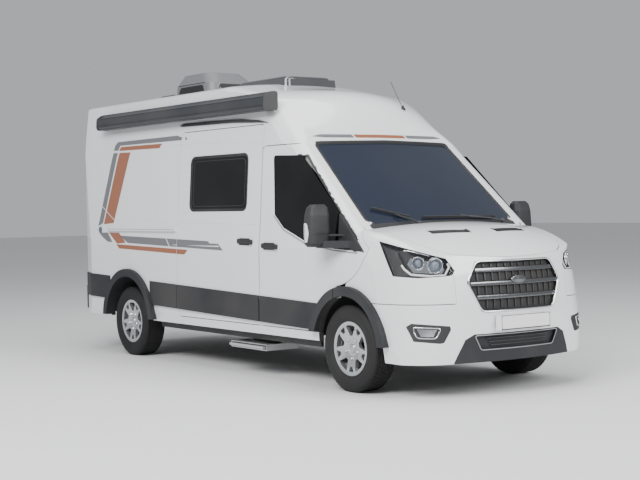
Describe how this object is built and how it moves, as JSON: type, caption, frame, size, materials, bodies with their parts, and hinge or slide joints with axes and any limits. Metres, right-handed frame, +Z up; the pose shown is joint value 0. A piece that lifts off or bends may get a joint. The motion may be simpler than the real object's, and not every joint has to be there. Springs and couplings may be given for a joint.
{
  "type": "camper van",
  "caption": "High-roof panel-van camper with side awning, roof air conditioner, opening doors, bonnet, steering wheels and pull-out step",
  "frame": {"origin": "on the ground under the middle of the vehicle: half its length, on its centre plane", "axes": "+X forward, +Y to the vehicle's left, +Z up"},
  "size_m": [5.98, 2.468, 2.912],
  "materials": {
    "body_white": "gloss white paint",
    "dark_trim": "grained dark grey plastic",
    "side_glass": "black privacy glass",
    "windscreen_glass": "lightly tinted glass",
    "awning_grey": "anthracite powder coat",
    "roof_unit_white": "white moulded plastic",
    "grille_chrome": "satin chrome and black mesh",
    "lamp_clear": "clear lens",
    "lamp_red": "red lens",
    "chassis_black": "black chassis paint",
    "bare_iron": "cast iron and steel",
    "engine_metal": "cast alloy",
    "tank_plastic": "moulded black polyethylene",
    "exhaust_steel": "dull stainless steel",
    "step_aluminium": "anodised aluminium",
    "cab_plastic": "grained black plastic",
    "seat_fabric": "dark woven fabric",
    "tyre_rubber": "black tyre rubber",
    "wheel_alloy": "silver painted alloy"
  },
  "bodies": {
    "body": {"air_conditioner": "roof_unit_white", "awning": "awning_grey", "cab_frame": "body_white", "cab_seats": "seat_fabric", "chassis_floor": "chassis_black", "cowl": "dark_trim", "dashboard": "cab_plastic", "engine": "engine_metal", "exhaust": "exhaust_steel", "front_bumper": "body_white", "front_lamps": "lamp_clear", "front_subframe": "chassis_black", "front_wing_left": "body_white", "front_wing_right": "body_white", "grille": "grille_chrome", "lamp_housings": "cab_plastic", "lower_grille": "dark_trim", "rear_axle": "bare_iron", "rear_bumper": "dark_trim", "rear_frame": "body_white", "roof": "body_white", "roof_lights": "roof_unit_white", "side_cladding": "dark_trim", "side_wall_left": "body_white", "side_wall_right": "body_white", "side_windows": "side_glass", "sills": "dark_trim", "sliding_door": "body_white", "step_housing": "step_aluminium", "tail_lamps": "lamp_red", "tanks": "tank_plastic", "wheel_housings": "dark_trim", "windscreen": "windscreen_glass"},
    "front_door_right": {"front_door_right": "body_white", "door_glass_right": "side_glass", "door_cladding_right": "dark_trim", "mirror_right": "dark_trim"},
    "rear_door_right": {"rear_door_right": "body_white", "rear_glass_right": "side_glass"},
    "knuckle_right": {"front_knuckle_right": "bare_iron"},
    "wheel_front_right": {"tyre_front_right": "tyre_rubber", "rim_front_right": "wheel_alloy"},
    "wheel_rear_right": {"tyre_rear_right": "tyre_rubber", "rim_rear_right": "wheel_alloy"},
    "front_door_left": {"front_door_left": "body_white", "door_glass_left": "side_glass", "door_cladding_left": "dark_trim", "mirror_left": "dark_trim"},
    "rear_door_left": {"rear_door_left": "body_white", "rear_glass_left": "side_glass"},
    "knuckle_left": {"front_knuckle_left": "bare_iron"},
    "wheel_front_left": {"tyre_front_left": "tyre_rubber", "rim_front_left": "wheel_alloy"},
    "wheel_rear_left": {"tyre_rear_left": "tyre_rubber", "rim_rear_left": "wheel_alloy"},
    "bonnet": {"bonnet": "body_white"},
    "step": {"step_tread": "step_aluminium"}
  },
  "joints": [
    {"name": "front_door_right_hinge", "type": "hinge", "parent": "body", "child": "front_door_right", "pos_m": [2.13, -0.984, 0.95], "axis": [0, 0, 1], "range_deg": [0, 70]},
    {"name": "rear_door_right_hinge", "type": "hinge", "parent": "body", "child": "rear_door_right", "pos_m": [-2.951, -0.818, 1.5], "axis": [0, 0, 1], "range_deg": [0, 180]},
    {"name": "steer_right", "type": "hinge", "parent": "body", "child": "knuckle_right", "pos_m": [1.9675, -0.7, 0.352], "axis": [0, 0, 1], "range_deg": [-33, 33]},
    {"name": "wheel_front_right_spin", "type": "hinge", "parent": "knuckle_right", "child": "wheel_front_right", "pos_m": [1.9675, -0.868, 0.352], "axis": [0, 1, 0], "continuous": true},
    {"name": "wheel_rear_right_spin", "type": "hinge", "parent": "body", "child": "wheel_rear_right", "pos_m": [-1.7825, -0.868, 0.352], "axis": [0, 1, 0], "continuous": true},
    {"name": "front_door_left_hinge", "type": "hinge", "parent": "body", "child": "front_door_left", "pos_m": [2.13, 0.984, 0.95], "axis": [0, 0, -1], "range_deg": [0, 70]},
    {"name": "rear_door_left_hinge", "type": "hinge", "parent": "body", "child": "rear_door_left", "pos_m": [-2.951, 0.818, 1.5], "axis": [0, 0, -1], "range_deg": [0, 180]},
    {"name": "steer_left", "type": "hinge", "parent": "body", "child": "knuckle_left", "pos_m": [1.9675, 0.7, 0.352], "axis": [0, 0, 1], "range_deg": [-33, 33]},
    {"name": "wheel_front_left_spin", "type": "hinge", "parent": "knuckle_left", "child": "wheel_front_left", "pos_m": [1.9675, 0.868, 0.352], "axis": [0, 1, 0], "continuous": true},
    {"name": "wheel_rear_left_spin", "type": "hinge", "parent": "body", "child": "wheel_rear_left", "pos_m": [-1.7825, 0.868, 0.352], "axis": [0, 1, 0], "continuous": true},
    {"name": "bonnet_hinge", "type": "hinge", "parent": "body", "child": "bonnet", "pos_m": [2.13, 0, 1.335], "axis": [0, -1, 0], "range_deg": [0, 50]},
    {"name": "step_slide", "type": "slide", "parent": "body", "child": "step", "axis": [0, -1, 0], "range_m": [0, 0.25]}
  ],
  "couplings": [
    {"joint": "steer_left", "follows": "steer_right", "ratio": 1}
  ]
}
